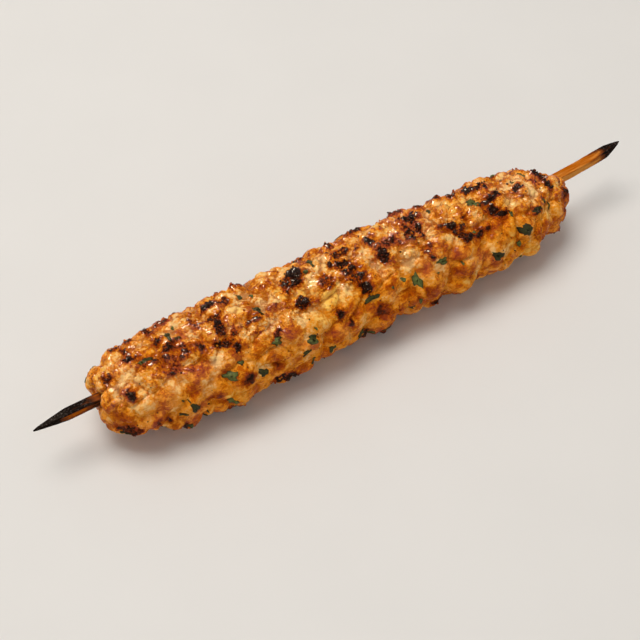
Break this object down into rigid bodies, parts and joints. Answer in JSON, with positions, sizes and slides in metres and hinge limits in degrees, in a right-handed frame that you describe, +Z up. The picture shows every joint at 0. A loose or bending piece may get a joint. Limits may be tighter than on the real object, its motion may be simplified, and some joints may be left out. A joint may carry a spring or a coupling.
{
  "type": "kofta skewer",
  "caption": "Grilled minced chicken kofta, moulded by hand round a square bamboo stick, lying on its side.",
  "frame": {"origin": "middle of the bounding box's underside, on the surface that the meat rests on", "axes": "+X along the stick towards the meat's narrower end, +Y towards the back, +Z up"},
  "size_m": [0.3, 0.0476, 0.0441],
  "materials": {
    "roasted_meat": "grilled crust, moist, with charred ridges and flecks of parsley",
    "toasted_bamboo": "dry split bamboo, toasted amber and charred black at its ends"
  },
  "bodies": {
    "root": {"meat": "roasted_meat", "skewer": "toasted_bamboo"}
  },
  "joints": []
}
